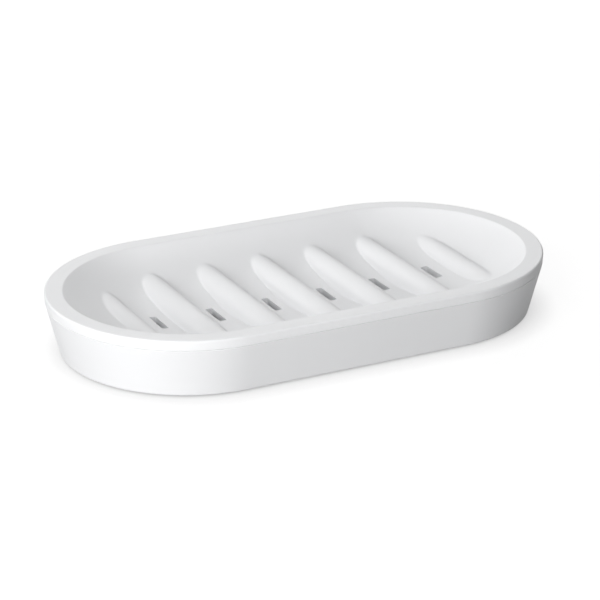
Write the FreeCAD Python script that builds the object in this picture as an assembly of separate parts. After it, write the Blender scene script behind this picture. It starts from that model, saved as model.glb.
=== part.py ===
import FreeCAD, Part
import math
import os

# Soap dish in two mouldings: a ribbed tray that lifts off a shallow drip base on foot pads.
# Millimetres and degrees. X runs along the dish, Y across it and Z up from the table.
# The origin is on the table under the middle of the dish.

# Rim in plan: two half circles joined by straight sides
LENGTH = 138.8
WIDTH = 75.4

# Tray: flat rim, outer band down to the parting line, and the shell under the bowl
RIM_WIDTH = 4.8
RIM_BAND = 2.65
RIM_DRAFT_DEGREES = 2.6
RIM_EDGE_RADIUS = 0.5
LIP_RADIUS = 0.7
TRAY_WALL = 2.0

# Bowl: a wide, nearly flat floor arc that turns into the side arc up to the lip
BOWL_DEPTH = 9.6
BOWL_FLOOR_HALF = 15.0
BOWL_FLOOR_RADIUS = 115.0

# Ribs across the bowl, and the drain slots between them
RIB_PITCH = 16.25
RIB_HEIGHT = 4.3
RIB_CREST_RADIUS = 4.1
RIB_SLOPE_DEGREES = 72.0
RIB_END_ROOM = 5.0
SLOT_LENGTH = 9.2
SLOT_WIDTH = 2.0
SLOT_CORNER_RADIUS = 0.5

# Skirt under the tray's rim, which drops inside the base wall
SKIRT_DROP = 3.0
SKIRT_WALL = 1.8
SKIRT_GAP = 0.3
SKIRT_EDGE_RADIUS = 0.4

# Base: a shallow tub whose wall leans out to meet the tray's band
BASE_DRAFT_DEGREES = 14.0
BASE_WALL = 2.2
BASE_FLOOR = 2.0
BASE_EDGE_RADIUS = 0.6
BASE_INNER_RADIUS = 2.0
DRIP_ROOM = 2.6
SEAM_EDGE_RADIUS = 0.22

# Foot pads, pressed into shallow recesses under the base
PAD_DIAMETER = 9.0
PAD_THICKNESS = 1.2
PAD_PROUD = 0.45
PAD_GAP = 0.1
PAD_INSET = 8.5
PAD_EDGE_RADIUS = 0.25

# How far a cutting shape runs past the faces that it cuts
OVERRUN = 1.0

UP = FreeCAD.Vector(0, 0, 1)
ORIGIN = FreeCAD.Vector(0, 0, 0)

# Levels above the table
base_z = PAD_PROUD
tub_floor_z = base_z + BASE_FLOOR
bowl_floor_z = tub_floor_z + DRIP_ROOM + TRAY_WALL
rim_z = bowl_floor_z + BOWL_DEPTH
seam_z = rim_z - RIM_BAND
skirt_z = seam_z - SKIRT_DROP
crest_z = bowl_floor_z + RIB_HEIGHT

# Distances out from the centre line, which joins the centres of the two round ends
half_width = WIDTH / 2
half_straight = LENGTH / 2 - half_width
bowl_half = half_width - RIM_WIDTH
seam_half = half_width - RIM_BAND * math.tan(math.radians(RIM_DRAFT_DEGREES))
base_slope = math.tan(math.radians(BASE_DRAFT_DEGREES))
base_wall_across = BASE_WALL / math.cos(math.radians(BASE_DRAFT_DEGREES))
rib_slope = math.radians(RIB_SLOPE_DEGREES)


def base_outer(z):
    """Half-width of the base's outer wall at a height."""
    return seam_half - (seam_z - z) * base_slope


def base_inner(z):
    """Half-width of the base's inner wall at a height."""
    return base_outer(z) - base_wall_across


def point(out, z):
    """A point of a cross-section: out from the centre line, and up from the table."""
    return FreeCAD.Vector(0, out, z)


def on_arc(centre, radius, turn):
    """The point of a cross-section's circle that lies a turn away from straight down."""
    return centre + point(radius * math.sin(turn), -radius * math.cos(turn))


# Centres and turns of the bowl's two arcs, which meet without a corner
floor_centre = point(0, bowl_floor_z + BOWL_FLOOR_RADIUS)
floor_turn = math.asin(BOWL_FLOOR_HALF / BOWL_FLOOR_RADIUS)
floor_end = on_arc(floor_centre, BOWL_FLOOR_RADIUS, floor_turn)
side_run = bowl_half - floor_end.y
lip_turn = 2 * math.atan2(rim_z - floor_end.z, side_run) - floor_turn
side_radius = side_run / (math.sin(lip_turn) - math.sin(floor_turn))
side_centre = floor_end - point(side_radius * math.sin(floor_turn), -side_radius * math.cos(floor_turn))


def line(start, end):
    return Part.LineSegment(start, end).toShape()


def arc(start, middle, end):
    return Part.Arc(start, middle, end).toShape()


def turned_arc(centre, radius, start, end):
    """Arc of a cross-section's circle between two turns."""
    middle = (start + end) / 2
    return arc(*(on_arc(centre, radius, turn) for turn in (start, middle, end)))


def rounded_chain(corners):
    """Edges through a row of (corner, radius) pairs; the first and last corners stay sharp."""
    edges = []
    last = corners[0][0]
    for (before, _), (corner, radius), (after, _) in zip(corners, corners[1:], corners[2:]):
        back = (before - corner).normalize()
        ahead = (after - corner).normalize()
        half = back.getAngle(ahead) / 2
        bisector = (back + ahead).normalize()
        first = corner + back * (radius / math.tan(half))
        middle = corner + bisector * (radius / math.sin(half) - radius)
        second = corner + ahead * (radius / math.tan(half))
        edges.append(line(last, first))
        if radius > 0:
            edges.append(arc(first, middle, second))
        last = second
    edges.append(line(last, corners[-1][0]))
    return edges


def stadium(edges):
    """Carry a half cross-section along both straight sides and about both end centres."""
    section = Part.Face(Part.Wire(edges))
    end_centre = FreeCAD.Vector(half_straight, 0, 0)
    right = section.translated(end_centre)
    left = section.translated(end_centre * -1)
    side = left.extrude(end_centre * 2)
    other_side = side.mirror(ORIGIN, FreeCAD.Vector(0, 1, 0))
    right_end = right.revolve(end_centre, UP, -180)
    left_end = left.revolve(end_centre * -1, UP, 180)
    return side.fuse([other_side, right_end, left_end]).removeSplitter()


def bowl_arcs(offset, last_turn):
    """The bowl's floor and side arcs, moved outwards by an offset, from the middle to a turn."""
    floor = turned_arc(floor_centre, BOWL_FLOOR_RADIUS + offset, 0, floor_turn)
    side = turned_arc(side_centre, side_radius + offset, floor_turn, last_turn)
    return [floor, side]


def tray_shell():
    """Rim, bowl and skirt in one cross-section."""
    lip_reach = side_radius + LIP_RADIUS
    lip_z = rim_z - LIP_RADIUS
    lip_touch = math.acos((side_centre.z - lip_z) / lip_reach)
    lip_centre = on_arc(side_centre, lip_reach, lip_touch)
    lip_start = on_arc(side_centre, side_radius, lip_touch)
    lip_end = lip_centre + UP * LIP_RADIUS
    lip_side = (lip_start - lip_centre + lip_end - lip_centre).normalize()
    lip = arc(lip_start, lip_centre + lip_side * LIP_RADIUS, lip_end)

    skirt_out = base_inner(skirt_z) - SKIRT_GAP
    skirt_in = skirt_out - SKIRT_WALL
    under_radius = side_radius + TRAY_WALL
    skirt_turn = math.asin((skirt_in - side_centre.y) / under_radius)
    outside = rounded_chain([
        (lip_end, 0),
        (point(half_width, rim_z), RIM_EDGE_RADIUS),
        (point(seam_half, seam_z), SEAM_EDGE_RADIUS),
        (point(base_inner(seam_z) - SKIRT_GAP, seam_z), 0),
        (point(skirt_out, skirt_z), SKIRT_EDGE_RADIUS),
        (point(skirt_in, skirt_z), SKIRT_EDGE_RADIUS),
        (on_arc(side_centre, under_radius, skirt_turn), 0),
    ])
    underside = bowl_arcs(TRAY_WALL, skirt_turn)
    middle = line(point(0, bowl_floor_z - TRAY_WALL), point(0, bowl_floor_z))
    return stadium(bowl_arcs(0, lip_touch) + [lip] + outside + underside[::-1] + [middle])


def bowl_space():
    """What the bowl holds above the middle of its wall, to trim the ribs to."""
    arcs = bowl_arcs(TRAY_WALL / 2, lip_turn)
    edge = on_arc(side_centre, side_radius + TRAY_WALL / 2, lip_turn)
    top = line(edge, point(0, edge.z))
    middle = line(point(0, edge.z), point(0, bowl_floor_z - TRAY_WALL / 2))
    return stadium(arcs + [top, middle])


def ridge(x, crest, radius, foot, half_length):
    """Bar along Y with two sloping flanks under a rounded crest."""
    round_half = radius * math.sin(rib_slope)
    round_z = crest - radius * (1 - math.cos(rib_slope))
    foot_half = round_half + (round_z - foot) / math.tan(rib_slope)
    left_foot, left, top, right, right_foot = (
        FreeCAD.Vector(x + across, -half_length, z)
        for across, z in ((-foot_half, foot), (-round_half, round_z), (0, crest),
                          (round_half, round_z), (foot_half, foot)))
    edges = [line(left_foot, left), arc(left, top, right), line(right, right_foot), line(right_foot, left_foot)]
    return Part.Face(Part.Wire(edges)).extrude(FreeCAD.Vector(0, 2 * half_length, 0))


def crest_reach(x):
    """Half-length of a rib's crest: how far from its middle the bowl's side rises to that level."""
    out = side_centre.y + math.sqrt(side_radius ** 2 - (side_centre.z - crest_z) ** 2)
    past_end_centre = max(abs(x) - half_straight, 0)
    return math.sqrt(out ** 2 - past_end_centre ** 2)


def rib_places():
    """X of each rib, as many as fit on both sides of the middle one."""
    each_side = int((half_straight + crest_reach(0) - RIB_END_ROOM) / RIB_PITCH)
    return [number * RIB_PITCH for number in range(-each_side, each_side + 1)]


def rib_core(x):
    """Hollow under a rib that leaves it as thick as the tray's wall."""
    foot = bowl_floor_z - TRAY_WALL - OVERRUN
    return ridge(x, crest_z - TRAY_WALL, RIB_CREST_RADIUS - TRAY_WALL, foot, crest_reach(x))


def drain_slot(x):
    """Upright bar with rounded corners that opens one slot through the bowl's floor."""
    low = bowl_floor_z - TRAY_WALL - OVERRUN
    across, along = SLOT_WIDTH / 2, SLOT_LENGTH / 2
    middle = FreeCAD.Vector(x, -along, low)
    corners = [middle] + [FreeCAD.Vector(x + side * across, end * along, low)
                          for side, end in ((1, -1), (1, 1), (-1, 1), (-1, -1))] + [middle]
    radii = [0] + [SLOT_CORNER_RADIUS] * 4 + [0]
    outline = Part.Wire(rounded_chain(list(zip(corners, radii))))
    return Part.Face(outline).extrude(UP * (crest_z - low))


def soap_tray():
    places = rib_places()
    space = bowl_space()
    foot = bowl_floor_z - TRAY_WALL
    ribs = [ridge(x, crest_z, RIB_CREST_RADIUS, foot, bowl_half).common(space) for x in places]
    cores = [rib_core(x) for x in places]
    slots = [drain_slot((left + right) / 2) for left, right in zip(places, places[1:])]
    return tray_shell().fuse(ribs).cut(cores + slots).removeSplitter()


def pad_places():
    """Pad centres, under the ends of the straight sides."""
    across = base_outer(base_z) - PAD_INSET
    return [FreeCAD.Vector(x, y, 0)
            for y in (-across, across) for x in (-half_straight, half_straight)]


def drip_base():
    floor_half = base_inner(tub_floor_z)
    outline = rounded_chain([
        (point(0, base_z), 0),
        (point(base_outer(base_z), base_z), BASE_EDGE_RADIUS),
        (point(seam_half, seam_z), SEAM_EDGE_RADIUS),
        (point(base_inner(seam_z), seam_z), SEAM_EDGE_RADIUS),
        (point(floor_half, tub_floor_z), BASE_INNER_RADIUS),
        (point(0, tub_floor_z), 0),
    ])
    middle = line(point(0, tub_floor_z), point(0, base_z))
    recesses = [Part.makeCylinder(PAD_DIAMETER / 2 + PAD_GAP, PAD_THICKNESS, place) for place in pad_places()]
    return stadium(outline + [middle]).cut(recesses)


def foot_pad(place):
    pad = Part.makeCylinder(PAD_DIAMETER / 2, PAD_THICKNESS, place)
    lower_edge = [edge for edge in pad.Edges if edge.Closed and edge.CenterOfMass.z < PAD_THICKNESS / 2]
    return pad.makeFillet(PAD_EDGE_RADIUS, lower_edge)


os.makedirs("parts", exist_ok=True)
nodes = {"soap_tray": soap_tray(), "drip_base": drip_base()}
for number, place in enumerate(pad_places(), start=1):
    nodes[f"foot_pad_{number}"] = foot_pad(place)
for name, shape in nodes.items():
    solid, = shape.Solids
    solid.exportStep(os.path.join("parts", name + ".step"))
    print(name, "volume", round(solid.Volume), "valid", solid.isValid())
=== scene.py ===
import math

import bmesh
import bpy
import numpy as np
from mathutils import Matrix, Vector


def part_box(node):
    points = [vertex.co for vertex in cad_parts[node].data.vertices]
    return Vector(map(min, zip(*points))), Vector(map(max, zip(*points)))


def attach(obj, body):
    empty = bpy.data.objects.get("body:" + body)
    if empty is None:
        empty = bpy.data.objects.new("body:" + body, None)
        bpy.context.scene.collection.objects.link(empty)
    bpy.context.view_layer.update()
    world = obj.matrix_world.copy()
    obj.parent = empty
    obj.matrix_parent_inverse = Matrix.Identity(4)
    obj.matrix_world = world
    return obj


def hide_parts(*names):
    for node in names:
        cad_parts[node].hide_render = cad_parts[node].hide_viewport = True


# A white soap dish in two mouldings: a ribbed draining tray on a tapered drip base.
# Metres and degrees. X runs along the dish, Y across it and Z up from the table.

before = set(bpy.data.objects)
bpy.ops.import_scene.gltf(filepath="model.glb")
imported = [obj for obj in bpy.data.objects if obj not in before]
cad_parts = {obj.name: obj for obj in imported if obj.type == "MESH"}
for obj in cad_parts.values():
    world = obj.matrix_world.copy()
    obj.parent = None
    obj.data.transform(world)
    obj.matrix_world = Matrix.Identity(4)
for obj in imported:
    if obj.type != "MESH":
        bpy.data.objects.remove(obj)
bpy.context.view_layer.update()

# Tray, from the rim inwards
RIM_WIDTH = 0.0048
RIM_DRAFT = 2.6
RIM_EDGE_RADIUS = 0.0005
LIP_RADIUS = 0.0007
TRAY_WALL = 0.002
BOWL_DEPTH = 0.0096
BOWL_FLOOR_HALF = 0.015
BOWL_FLOOR_RADIUS = 0.115
END_RISE = 0.0011

# Ribs across the bowl and the drain slots between them
RIB_COUNT = 7
RIB_PITCH = 0.01625
RIB_HEIGHT = 0.0043
RIB_CREST_RADIUS = 0.0041
RIB_SLOPE = 72.0
RIB_FOOT_RADIUS = 0.0015
RIB_FOOT_BLEND = 0.0003
SLOT_LENGTH = 0.0092
SLOT_WIDTH = 0.0020
SLOT_CORNER_RADIUS = 0.0005
CORNER_FADE = 1.5
SLOT_FLARE = 0.0002
SLOT_FLARE_REACH = 0.002

# Skirt under the tray, and the base that it drops into
SKIRT_DROP = 0.003
SKIRT_WALL = 0.0018
SKIRT_GAP = 0.0003
SKIRT_EDGE_RADIUS = 0.0004
BASE_DRAFT = 14.0
BASE_WALL = 0.0022
BASE_FLOOR = 0.002
BASE_EDGE_RADIUS = 0.0006
BASE_INNER_RADIUS = 0.002
SEAM_EDGE_RADIUS = 0.0001
SEAM_GAP = 0.00014
SEAM_DEPTH = 0.00035
SEAM_INNER_RADIUS = 0.00003

# Mesh fineness
ROW_STEP = 0.00065
VALLEY_STEP = 0.0008
UNDERSIDE_STEP = 0.0012
ARC_STEP = 0.00022
RIB_STEP = 0.0005
END_TURN = 2.0
END_COLUMNS = 144
SIDE_STEP = 0.0024
SUPPORT_ROW = 0.00003
SHARP_EDGE = 40.0
MERGE_DISTANCE = 0.000001
STEP_SLACK = 0.000001
ARC_ROWS = 3

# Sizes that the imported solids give
tray_low, tray_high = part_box("soap_tray")
base_low, base_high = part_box("drip_base")
rim_z = tray_high.z
seam_z = base_high.z
base_z = base_low.z
tub_floor_z = base_z + BASE_FLOOR
skirt_z = seam_z - SKIRT_DROP
bowl_floor_z = rim_z - BOWL_DEPTH
crest_z = bowl_floor_z + RIB_HEIGHT


def tangent(degrees):
    return math.tan(math.radians(degrees))


rim_corner_loss = RIM_EDGE_RADIUS * (1 / tangent((90 - RIM_DRAFT) / 2) - 1)
half_width = tray_high.y + rim_corner_loss
half_straight = tray_high.x - tray_high.y
bowl_half = half_width - RIM_WIDTH
seam_half = half_width - (rim_z - seam_z) * tangent(RIM_DRAFT)
base_wall_across = BASE_WALL / math.cos(math.radians(BASE_DRAFT))
rib_slope = math.radians(RIB_SLOPE)
rib_places = (np.arange(RIB_COUNT) - (RIB_COUNT - 1) / 2) * RIB_PITCH
slot_places = (rib_places[1:] + rib_places[:-1]) / 2
slot_across, slot_along = SLOT_WIDTH / 2, SLOT_LENGTH / 2


def base_outer(z):
    """Half-width of the base's outer wall at a height."""
    return seam_half - (seam_z - z) * tangent(BASE_DRAFT)


def base_inner(z):
    """Half-width of the base's inner wall at a height."""
    return base_outer(z) - base_wall_across


skirt_out = base_inner(skirt_z) - SKIRT_GAP
skirt_in = skirt_out - SKIRT_WALL


def spaced(start, end, step):
    """Points from start up to, but not including, end, no further apart than a step."""
    count = max(1, math.ceil(abs(end - start) / step - STEP_SLACK))
    return np.linspace(start, end, count, endpoint=False)


def rounded_profile(corners):
    """Profile through (out, z, radius) corners: straight runs joined by arcs, whose tangent length is
    the radius over the tangent of half the corner's angle. Each run has a row beside each arc."""
    places = [np.array(corner[:2]) for corner in corners]
    pieces = [places[0][None]]
    for before, corner, after, (_, _, radius) in zip(places, places[1:], places[2:], corners[1:]):
        back = (before - corner) / np.linalg.norm(before - corner)
        ahead = (after - corner) / np.linalg.norm(after - corner)
        half = math.acos(float(np.clip(back @ ahead, -1, 1))) / 2
        reach = radius / math.tan(half)
        middle = corner + (back + ahead) / np.linalg.norm(back + ahead) * (radius / math.sin(half))
        turn = math.pi / 2 - half
        count = max(ARC_ROWS, math.ceil(2 * turn * radius / ARC_STEP))
        angle = np.linspace(-turn, turn, count + 1)[:, None]
        inward = (corner - middle) / np.linalg.norm(corner - middle)
        along = (ahead - back) / np.linalg.norm(ahead - back)
        bend = middle + radius * (np.cos(angle) * inward + np.sin(angle) * along)
        pieces += [(corner + back * (reach + SUPPORT_ROW))[None], bend,
                   (corner + ahead * (reach + SUPPORT_ROW))[None]]
    pieces.append(places[-1][None])
    return np.concatenate(pieces)


class Columns:
    """Columns once round a stadium, anticlockwise from above. A column is a share of the straight
    half-length and a direction, so that a ring of any width is share * straight + direction * out."""

    def __init__(self, side_shares):
        side = side_shares[:-1]
        turn = np.linspace(-math.pi / 2, math.pi / 2, END_COLUMNS, endpoint=False)
        still = np.zeros(len(side))
        ones = np.ones(END_COLUMNS)
        self.share = np.concatenate([side, ones, side_shares[:0:-1], -ones])
        self.across = np.concatenate([still, np.cos(turn), still, -np.cos(turn)])
        self.along = np.concatenate([still - 1, np.sin(turn), still + 1, -np.sin(turn)])

    def rings(self, straight, out):
        """X and Y of one ring for each pair of straight half-length and half-width."""
        x = np.multiply.outer(straight, self.share) + np.multiply.outer(out, self.across)
        return x, np.multiply.outer(out, self.along)


def ring_faces(index):
    """Quads between neighbouring rows and columns of a grid that is closed round its columns."""
    ahead = np.roll(index, -1, axis=1)
    return np.stack([index[:-1], index[1:], ahead[1:], ahead[:-1]], axis=-1)


def mesh_piece(name, points, quads, body, slot, *nodes):
    """A closed smooth mesh that rides on a body and stands for CAD nodes."""
    mesh = bpy.data.meshes.new(name)
    mesh.from_pydata(points, [], quads)
    shape = bmesh.new()
    shape.from_mesh(mesh)
    bmesh.ops.remove_doubles(shape, verts=shape.verts, dist=MERGE_DISTANCE)
    shape.to_mesh(mesh)
    shape.free()
    mesh.shade_smooth()
    mesh.set_sharp_from_angle(angle=math.radians(SHARP_EDGE))
    piece = bpy.data.objects.new(name, mesh)
    bpy.context.scene.collection.objects.link(piece)
    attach(piece, body)
    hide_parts(*nodes)
    return piece


# Bowl and ribs as one height over the table

floor_centre_z = bowl_floor_z + BOWL_FLOOR_RADIUS
floor_turn = math.asin(BOWL_FLOOR_HALF / BOWL_FLOOR_RADIUS)
floor_end_z = floor_centre_z - BOWL_FLOOR_RADIUS * math.cos(floor_turn)
side_run = bowl_half - BOWL_FLOOR_HALF
lip_turn = 2 * math.atan2(rim_z - floor_end_z, side_run) - floor_turn
side_radius = side_run / (math.sin(lip_turn) - math.sin(floor_turn))
side_centre = (BOWL_FLOOR_HALF - side_radius * math.sin(floor_turn),
               floor_end_z + side_radius * math.cos(floor_turn))
lip_touch = math.acos((side_centre[1] - rim_z + LIP_RADIUS) / (side_radius + LIP_RADIUS))
lip_centre = side_centre[0] + (side_radius + LIP_RADIUS) * math.sin(lip_touch)
lip_start = side_centre[0] + side_radius * math.sin(lip_touch)


def bowl_height(out, drop=0):
    """Height of the bowl at a distance from the centre line, or of its underside a wall's drop lower:
    the wide floor arc, the side arc that it turns into, the small lip arc bent the other way, and the
    flat rim. A drop lengthens the radii of the floor and side arcs and leaves their centres."""
    floor_end = (BOWL_FLOOR_RADIUS + drop) * math.sin(floor_turn)
    floor = floor_centre_z - np.sqrt((BOWL_FLOOR_RADIUS + drop) ** 2 - np.minimum(out, floor_end) ** 2)
    side_out = np.clip(out, floor_end, lip_start) - side_centre[0]
    side = side_centre[1] - np.sqrt((side_radius + drop) ** 2 - side_out ** 2)
    lip_out = np.clip(out, lip_start, lip_centre) - lip_centre
    lip = rim_z - LIP_RADIUS + np.sqrt(LIP_RADIUS ** 2 - lip_out ** 2)
    return np.where(out < floor_end, floor, np.where(out < lip_start, side, lip))


# A rib's section: the crest arc, a straight flank, and a foot arc bent the other way, which ends
# level, a blend below the floor
arcs_height = (RIB_CREST_RADIUS + RIB_FOOT_RADIUS) * (1 - math.cos(rib_slope))
flank_height = RIB_HEIGHT + RIB_FOOT_BLEND - arcs_height
flank_half = RIB_CREST_RADIUS * math.sin(rib_slope)
foot_half = flank_half + flank_height / math.tan(rib_slope) + RIB_FOOT_RADIUS * math.sin(rib_slope)


def rib_height(x, drop=0):
    """Height of the nearest rib, or of the hollow under it a wall's drop lower: the crest arc, with
    its radius shortened by the drop, and then flanks at the rib's slope."""
    across = np.abs(x[..., None] - rib_places).min(axis=-1)
    radius = RIB_CREST_RADIUS - drop
    round_half = radius * math.sin(rib_slope)
    crest = crest_z - RIB_CREST_RADIUS + np.sqrt(radius ** 2 - np.minimum(across, round_half) ** 2)
    flank = crest - np.maximum(across - round_half, 0) * math.tan(rib_slope)
    if drop:
        return flank
    foot_in = np.minimum(foot_half - across, RIB_FOOT_RADIUS * math.sin(rib_slope))
    foot = bowl_floor_z - RIB_FOOT_BLEND + RIB_FOOT_RADIUS
    foot = foot - np.sqrt(RIB_FOOT_RADIUS ** 2 - np.maximum(foot_in, 0) ** 2)
    return np.where(foot_in < RIB_FOOT_RADIUS * math.sin(rib_slope), foot, flank)


def distance_out(x, y):
    """Distance from the centre line, which joins the centres of the two round ends."""
    return np.hypot(np.maximum(np.abs(x) - half_straight, 0), y)


def end_rise(x, out):
    """Extra height of the bowl's round ends, which rise earlier than its sides: the square of the share
    of the direction that points along the dish, times a cubic that is zero at the centre and the lip.
    The cubic's greatest value is 4/27, two thirds of the way out, so it is divided by that."""
    endward = np.maximum(np.abs(x) - half_straight, 0) / np.maximum(out, MERGE_DISTANCE)
    share = np.minimum(out / lip_start, 1)
    return END_RISE * endward ** 2 * 27 / 4 * share ** 2 * (1 - share)


def tray_height(x, y):
    """Top of the tray: the higher of bowl and rib, with their meeting rounded by a parabola that
    lifts it by a quarter of the blend where the two are level."""
    out = distance_out(x, y)
    bowl, rib = bowl_height(out) + end_rise(x, out), rib_height(x)
    blend = np.maximum(1 - np.abs(bowl - rib) / RIB_FOOT_BLEND, 0)
    return np.maximum(bowl, rib) + RIB_FOOT_BLEND / 4 * blend ** 2


def tray_under(x, y):
    """Underside of the tray: the higher of the bowl's underside and the hollows under the ribs."""
    return np.maximum(bowl_height(distance_out(x, y), TRAY_WALL), rib_height(x, TRAY_WALL))


def ease_slot_corners(x, y):
    """Draw the grid in at the four corners of each slot, so that they are round: by the gap between a
    square and a round corner on its diagonal, and by less with the distance from the corner."""
    nearest = slot_places[np.abs(x[..., None] - slot_places).argmin(axis=-1)]
    side, end = np.sign(x - nearest), np.sign(y)
    apart = np.maximum(np.abs(np.abs(x - nearest) - slot_across), np.abs(np.abs(y) - slot_along))
    share = np.maximum(1 - apart / SLOT_CORNER_RADIUS, 0)
    pull = SLOT_CORNER_RADIUS * (1 - math.sqrt(0.5)) * share ** CORNER_FADE
    return x - side * pull, y - end * pull


def flare_slots(x, y):
    """Widen the grid about each slot for the underside, so that the slots open downwards: the offset
    from the slot's middle grows by the flare at the slot's edge, and by less with the distance past it."""
    nearest = slot_places[np.abs(x[..., None] - slot_places).argmin(axis=-1)]
    past = np.maximum(np.abs(x - nearest) - slot_across, np.abs(y) - slot_along)
    share = np.clip(1 - np.maximum(past, 0) / SLOT_FLARE_REACH, 0, 1)
    wider = nearest + (x - nearest) * (1 + share * SLOT_FLARE / slot_across)
    return wider, y * (1 + share * SLOT_FLARE / slot_along)


def tray_columns():
    """X of each section across the bowl: even steps along a rib's curved section, a few across each
    valley and slot, and even turns round the ends past the last rib."""
    crest = RIB_CREST_RADIUS * np.sin(spaced(0, rib_slope, RIB_STEP / RIB_CREST_RADIUS))
    flank = spaced(flank_half, foot_half - RIB_FOOT_RADIUS * math.sin(rib_slope), RIB_STEP / 2)
    foot = foot_half - RIB_FOOT_RADIUS * np.sin(spaced(rib_slope, 0, RIB_STEP / RIB_FOOT_RADIUS))
    half = np.concatenate([crest[1:], flank, foot, [foot_half]])
    rib = np.concatenate([-half[::-1], [0], half])
    slot_edge = RIB_PITCH / 2 - slot_across
    valley = np.concatenate([spaced(foot_half, slot_edge, VALLEY_STEP)[1:],
                             spaced(slot_edge, RIB_PITCH - slot_edge, VALLEY_STEP),
                             spaced(RIB_PITCH - slot_edge, RIB_PITCH - foot_half, VALLEY_STEP)])
    past = (rib_places[-1] + foot_half - half_straight) / lip_start
    turns = spaced(math.pi / 2, math.asin(past), math.radians(END_TURN))
    end = half_straight + lip_start * np.sin(turns)
    between = np.add.outer(rib_places[:-1], valley).ravel()
    return np.sort(np.concatenate([-end, np.add.outer(rib_places, rib).ravel(), between, end]))


def soap_tray():
    """Closed sections across the dish, carried along its length: over the bowl from front to back, over
    the back rim, down its band and skirt, forward under the bowl, and up the front. Each row has a reach,
    which a round end turns along the dish, and a place across it, so the end sections close up. The
    slots follow grid lines: their cells are left out, and walls join top and underside there."""
    columns = tray_columns()
    past = np.clip((np.abs(columns) - half_straight) / lip_start, 0, 1)
    endward, across = np.sign(columns) * past, np.sqrt(1 - past ** 2)

    over_slot = np.concatenate([spaced(-slot_along, slot_along, ROW_STEP), [slot_along]])
    to_lip = spaced(lip_start, slot_along, ROW_STEP)
    to_skirt = spaced(skirt_in, slot_along, UNDERSIDE_STEP)
    top = np.concatenate([-to_lip, over_slot, to_lip[::-1]])
    under = np.concatenate([to_skirt, over_slot[::-1], -to_skirt[::-1]])
    lip_out = np.append(spaced(lip_start, lip_centre, ARC_STEP)[1:], lip_centre)
    lip = np.stack([lip_out, bowl_height(lip_out)], axis=-1)
    outside = np.concatenate([lip, rounded_profile([
        (lip_centre + SUPPORT_ROW, rim_z, 0),
        (half_width, rim_z, RIM_EDGE_RADIUS),
        (seam_half, seam_z, SEAM_EDGE_RADIUS),
        (base_inner(seam_z) - SKIRT_GAP, seam_z, SEAM_EDGE_RADIUS),
        (skirt_out, skirt_z, SKIRT_EDGE_RADIUS),
        (skirt_in, skirt_z, SKIRT_EDGE_RADIUS),
        (skirt_in, bowl_height(np.array(skirt_in), TRAY_WALL), 0),
    ])[:-1]])
    out, level = outside.T

    def section_rows(reach, place):
        """X and Y of rows over all columns, from each row's reach and its place across."""
        x = np.clip(columns, -half_straight, half_straight) + np.multiply.outer(reach, endward)
        return x, np.multiply.outer(place, across)

    top_x, top_y = ease_slot_corners(*section_rows(np.full(len(top), lip_start), top))
    under_x, under_y = ease_slot_corners(*section_rows(np.full(len(under), skirt_in), under))
    under_x, under_y = flare_slots(under_x, under_y)
    back_x, back_y = section_rows(out, out)
    back_z = np.broadcast_to(level[:, None], back_x.shape)
    grid = np.concatenate([
        np.stack([top_x, top_y, tray_height(top_x, top_y)], axis=-1),
        np.stack([back_x, back_y, back_z], axis=-1),
        np.stack([under_x, under_y, tray_under(under_x, under_y)], axis=-1),
        np.stack([back_x, -back_y, back_z], axis=-1)[::-1],
    ])
    index = np.arange(grid.shape[0] * grid.shape[1]).reshape(grid.shape[:2])
    ahead = np.roll(index, -1, axis=0)
    cells = np.stack([index[:, :-1], index[:, 1:], ahead[:, 1:], ahead[:, :-1]], axis=-1)

    # Cells that a slot opens: between the slot's two ends, and between its two edges
    first, deep = len(to_lip), len(over_slot) - 1
    below = len(top) + len(out) + len(to_skirt)
    middle_x = (columns[1:] + columns[:-1]) / 2
    opened = (np.abs(middle_x[:, None] - slot_places) < slot_across).any(axis=1)
    keep = np.ones(cells.shape[:2], bool)
    keep[first:first + deep, opened] = False
    keep[below:below + deep, opened] = False
    quads = [cells[keep]]

    upper = index[first:first + deep + 1]
    lower = index[below:below + deep + 1][::-1]
    inside = np.flatnonzero(opened)
    for row, near, far in ((0, inside, inside + 1), (-1, inside + 1, inside)):
        quads.append(np.stack([upper[row, near], upper[row, far],
                               lower[row, far], lower[row, near]], axis=-1))
    left = np.flatnonzero(opened & ~np.roll(opened, 1))
    right = np.flatnonzero(opened & ~np.roll(opened, -1)) + 1
    behind, before = slice(1, None), slice(None, -1)
    for side, near, far in ((left, behind, before), (right, before, behind)):
        wall = np.stack([upper[near][:, side], upper[far][:, side],
                         lower[far][:, side], lower[near][:, side]], axis=-1)
        quads.append(wall.reshape(-1, 4))
    return mesh_piece("tray_moulding", grid.reshape(-1, 3), np.concatenate(quads), "tray",
                      "tray_plastic", "soap_tray")


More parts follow.
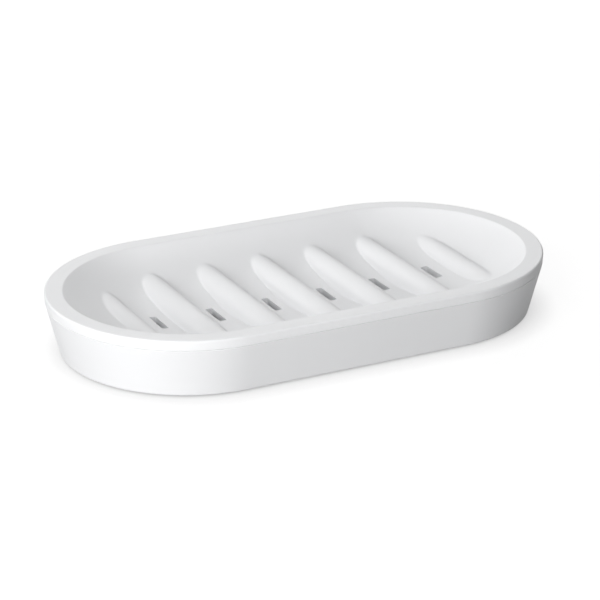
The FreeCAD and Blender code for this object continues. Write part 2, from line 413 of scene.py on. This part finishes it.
def drip_base():
    """The tub's closed profile carried round the stadium: underside, leaning wall, the ledge that
    leaves a thin shadow line under the tray's band, seat and floor."""
    ledge_z = seam_z - SEAM_GAP
    profile = rounded_profile([
        (0, base_z, 0),
        (base_outer(base_z), base_z, BASE_EDGE_RADIUS),
        (base_outer(ledge_z), ledge_z, SEAM_EDGE_RADIUS),
        (seam_half - SEAM_DEPTH, ledge_z, SEAM_INNER_RADIUS),
        (seam_half - SEAM_DEPTH, seam_z, SEAM_INNER_RADIUS),
        (base_inner(seam_z), seam_z, SEAM_EDGE_RADIUS),
        (base_inner(tub_floor_z), tub_floor_z, BASE_INNER_RADIUS),
        (0, tub_floor_z, 0),
    ])[::-1]
    sides = np.concatenate([spaced(-half_straight, half_straight, SIDE_STEP), [half_straight]])
    columns = Columns(sides / half_straight)
    x, y = columns.rings(np.full(len(profile), half_straight), profile[:, 0])
    grid = np.stack([x, y, np.broadcast_to(profile[:, 1:], x.shape)], axis=-1)
    index = np.arange(x.size).reshape(x.shape)
    return mesh_piece("base_moulding", grid.reshape(-1, 3), ring_faces(index).reshape(-1, 4), "base",
                      "base_plastic", "drip_base")


class Value:
    """A shader socket. Sums, differences and products of values add Math nodes."""

    def __init__(self, tree, socket=None):
        self.tree = tree
        self.socket = socket

    def node(self, kind, settings=None, inputs=None, output=0):
        """A new node with its settings made first, then its sockets linked or given a number."""
        made = self.tree.nodes.new("ShaderNode" + kind)
        for name, setting in (settings or {}).items():
            setattr(made, name, setting)
        for name, given in (inputs or {}).items():
            if isinstance(given, Value):
                self.tree.links.new(given.socket, made.inputs[name])
            else:
                made.inputs[name].default_value = given
        return Value(self.tree, made.outputs[output] if made.outputs else None)

    def maths(self, operation, first, second):
        return self.node("Math", {"operation": operation}, {0: first, 1: second})

    def __add__(self, other):
        return self.maths("ADD", self, other)

    def __sub__(self, other):
        return self.maths("SUBTRACT", self, other)

    def __rsub__(self, other):
        return self.maths("SUBTRACT", other, self)

    def __mul__(self, other):
        return self.maths("MULTIPLY", self, other)

    __radd__ = __add__
    __rmul__ = __mul__


def new_material(name):
    material = bpy.data.materials.new(name)
    material.use_nodes = True
    material.node_tree.nodes.clear()
    return material, Value(material.node_tree)


def noise(start, size, detail=2.0):
    """Noise in the piece's own space, with features of about a size in metres."""
    place = start.node("TexCoord", output="Object")
    return start.node("TexNoise", inputs={"Vector": place, "Scale": 1 / size, "Detail": detail})


def mixed_colour(start, share, first, second):
    return start.node("Mix", {"data_type": "RGBA"}, {0: share, 6: first, 7: second}, output=2)


# Satin white plastic: sizes of its cloudiness and grain, depth of the grain, and gloss
WHITE_PALE = (0.868, 0.873, 0.882, 1)
WHITE_DEEP = (0.852, 0.857, 0.868, 1)
CLOUD_SIZE = 0.030
SATIN_SIZE, SATIN_DETAIL = 0.00035, 3.0
SATIN_STRENGTH, SATIN_DEPTH = 0.10, 0.00003
SATIN_ROUGHNESS, CLOUD_ROUGHNESS, GRAIN_ROUGHNESS = 0.38, 0.10, 0.06
PLASTIC_IOR, PLASTIC_SPECULAR = 1.46, 0.25

# Grey rubber: sizes of its bloom and grain, depth of the grain, and dullness
RUBBER_PALE = (0.64, 0.65, 0.66, 1)
RUBBER_DEEP = (0.56, 0.57, 0.58, 1)
BLOOM_SIZE, BLOOM_DETAIL = 0.0022, 4.0
RUBBER_GRAIN_SIZE = 0.00025
RUBBER_STRENGTH, RUBBER_DEPTH = 0.25, 0.00004
RUBBER_ROUGHNESS, BLOOM_ROUGHNESS = 0.70, 0.15


def satin_plastic():
    """Moulded plastic with a fine satin grain and a faint cloudiness in colour and gloss."""
    material, start = new_material("satin_white_plastic")
    cloud = noise(start, CLOUD_SIZE)
    grain = noise(start, SATIN_SIZE, SATIN_DETAIL)
    bump = start.node("Bump", inputs={"Height": grain, "Strength": SATIN_STRENGTH,
                                      "Distance": SATIN_DEPTH})
    shader = start.node("BsdfPrincipled", inputs={
        "Base Color": mixed_colour(start, cloud, WHITE_PALE, WHITE_DEEP),
        "Roughness": SATIN_ROUGHNESS + CLOUD_ROUGHNESS * cloud + GRAIN_ROUGHNESS * grain,
        "IOR": PLASTIC_IOR,
        "Specular IOR Level": PLASTIC_SPECULAR,
        "Normal": bump,
    })
    start.node("OutputMaterial", inputs={"Surface": shader})
    return material


def soft_rubber():
    """Matte grey rubber with a slight bloom."""
    material, start = new_material("grey_rubber")
    bloom = noise(start, BLOOM_SIZE, BLOOM_DETAIL)
    grain = noise(start, RUBBER_GRAIN_SIZE)
    bump = start.node("Bump", inputs={"Height": grain, "Strength": RUBBER_STRENGTH,
                                      "Distance": RUBBER_DEPTH})
    shader = start.node("BsdfPrincipled", inputs={
        "Base Color": mixed_colour(start, bloom, RUBBER_PALE, RUBBER_DEEP),
        "Roughness": RUBBER_ROUGHNESS + BLOOM_ROUGHNESS * bloom,
        "Normal": bump,
    })
    start.node("OutputMaterial", inputs={"Surface": shader})
    return material


def dress(piece, material):
    piece.data.materials.clear()
    piece.data.materials.append(material)


white = satin_plastic()
rubber = soft_rubber()
dress(soap_tray(), white)
dress(drip_base(), white)
for node_name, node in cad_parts.items():
    if node_name.startswith("foot_pad"):
        dress(node, rubber)

# Stage: a pale floor, a white surround for the camera, and soft lamps, each with its azimuth,
# elevation, height and watts

FLOOR_SIZE = 4.0
FLOOR_COLOUR = (0.30, 0.30, 0.30, 1)
FLOOR_LIFT = 0.83
FADE_START = 0.25
FADE_END = 0.8
# Painted contact shadow on the floor: how far the camera-only lift dims, and how far the occlusion looks
PAINTED_CONTACT_SHADE = 0.36
PAINTED_SHADE_REACH = 0.008
LAMP_DISTANCE = 0.7
LAMP_WIDTH = 0.45
BOX, STRIP = 0.45, 0.12
LAMPS = {
    "key_front_left": (240, 20, BOX, 2.66),
    "key_left": (210, 20, BOX, 2.38),
    "left_high": (210, 45, BOX, 0.40),
    "left_low": (170, 7, STRIP, 0.65),
    "front_low": (262, 7, STRIP, 0.32),
    "back_left": (120, 20, BOX, 0.62),
    "back_left_high": (120, 45, BOX, 0.37),
    "back_high": (90, 45, BOX, 0.47),
    "back_right": (60, 20, BOX, 0.98),
    "back_right_high": (60, 45, BOX, 0.64),
    "right_high": (20, 48, BOX, 0.36),
}


def seen_directly(start):
    """One for rays from the camera and for mirror and glass rays, zero for the light on the dish."""
    camera = start.node("LightPath", output="Is Camera Ray")
    glossy = start.node("LightPath", output="Is Glossy Ray")
    glass = start.node("LightPath", output="Is Transmission Ray")
    return start.maths("MAXIMUM", camera, start.maths("MAXIMUM", glossy, glass))


def pale_floor():
    """Floor that keeps the shadow of the dish and is lifted for the camera, to full white far off. Near
    the dish the lift is dimmed by ambient occlusion: a painted contact shadow.
    """
    material, start = new_material("pale_floor")
    diffuse = start.node("BsdfDiffuse", inputs={"Color": FLOOR_COLOUR})
    place = start.node("NewGeometry", output="Position")
    away = start.node("VectorMath", {"operation": "LENGTH"}, {0: place}, output="Value")
    far_lift = start.node("MapRange", inputs={"Value": away, "From Min": FADE_START, "From Max": FADE_END,
                                              "To Max": 1 - FLOOR_LIFT})
    # Painted contact shadow: the lift that only the camera sees is dimmed where ambient occlusion finds
    # the dish close by
    open_share = start.node("AmbientOcclusion", inputs={"Distance": PAINTED_SHADE_REACH}, output="AO")
    strength = FLOOR_LIFT + far_lift - PAINTED_CONTACT_SHADE * (1 - open_share)
    lift = start.node("Emission", inputs={"Strength": strength * seen_directly(start)})
    both = start.node("AddShader", inputs={0: diffuse, 1: lift})
    start.node("OutputMaterial", inputs={"Surface": both})
    mesh = bpy.data.meshes.new("floor")
    half = FLOOR_SIZE / 2
    corners = [(-half, -half, 0), (half, -half, 0), (half, half, 0), (-half, half, 0)]
    mesh.from_pydata(corners, [], [(0, 1, 2, 3)])
    floor = bpy.data.objects.new("floor", mesh)
    bpy.context.scene.collection.objects.link(floor)
    dress(floor, material)


def white_surround():
    """White seen behind the floor, which gives the dish no light of its own."""
    world = bpy.data.worlds.new("surround")
    world.use_nodes = True
    world.node_tree.nodes.clear()
    start = Value(world.node_tree)
    light = start.node("Background", inputs={"Color": (1, 1, 1, 1), "Strength": seen_directly(start)})
    start.node("OutputWorld", inputs={"Surface": light})
    bpy.context.scene.world = world


def softbox(name, azimuth, elevation, height, power):
    """Lamp that faces the dish, at angles from +X and from the table."""
    turn, lift = math.radians(azimuth), math.radians(elevation)
    way = Vector((math.cos(turn) * math.cos(lift), math.sin(turn) * math.cos(lift), math.sin(lift)))
    lamp = bpy.data.lights.new(name, "AREA")
    lamp.shape = "RECTANGLE"
    lamp.size = LAMP_WIDTH
    lamp.size_y = height
    lamp.energy = power
    box = bpy.data.objects.new(name, lamp)
    box.location = way * LAMP_DISTANCE
    box.rotation_euler = (-way).to_track_quat("-Z", "Y").to_euler()
    bpy.context.scene.collection.objects.link(box)


# Camera, at the photograph's viewing angle

CAMERA_AZIMUTH = -26.81
CAMERA_ELEVATION = 21.672
CAMERA_DISTANCE = 0.6226
CAMERA_SIDE = 0.00027
CAMERA_RISE = 0.00638
CAMERA_LENS = 139.59
CAMERA_SENSOR = 36.0


def camera():
    turn, lift = math.radians(CAMERA_AZIMUTH), math.radians(CAMERA_ELEVATION)
    back = Vector((math.sin(turn) * math.cos(lift), -math.cos(turn) * math.cos(lift), math.sin(lift)))
    facing = (-back).to_track_quat("-Z", "Y")
    data = bpy.data.cameras.new("camera")
    data.lens = CAMERA_LENS
    data.sensor_width = CAMERA_SENSOR
    data.clip_start = CAMERA_DISTANCE / 10
    made = bpy.data.objects.new("camera", data)
    made.location = back * CAMERA_DISTANCE + facing @ Vector((CAMERA_SIDE, CAMERA_RISE, 0))
    made.rotation_mode = "QUATERNION"
    made.rotation_quaternion = facing
    bpy.context.scene.collection.objects.link(made)
    bpy.context.scene.camera = made


pale_floor()
white_surround()
for lamp_name, placing in LAMPS.items():
    softbox(lamp_name, *placing)
camera()
bpy.context.scene.view_settings.view_transform = "Standard"
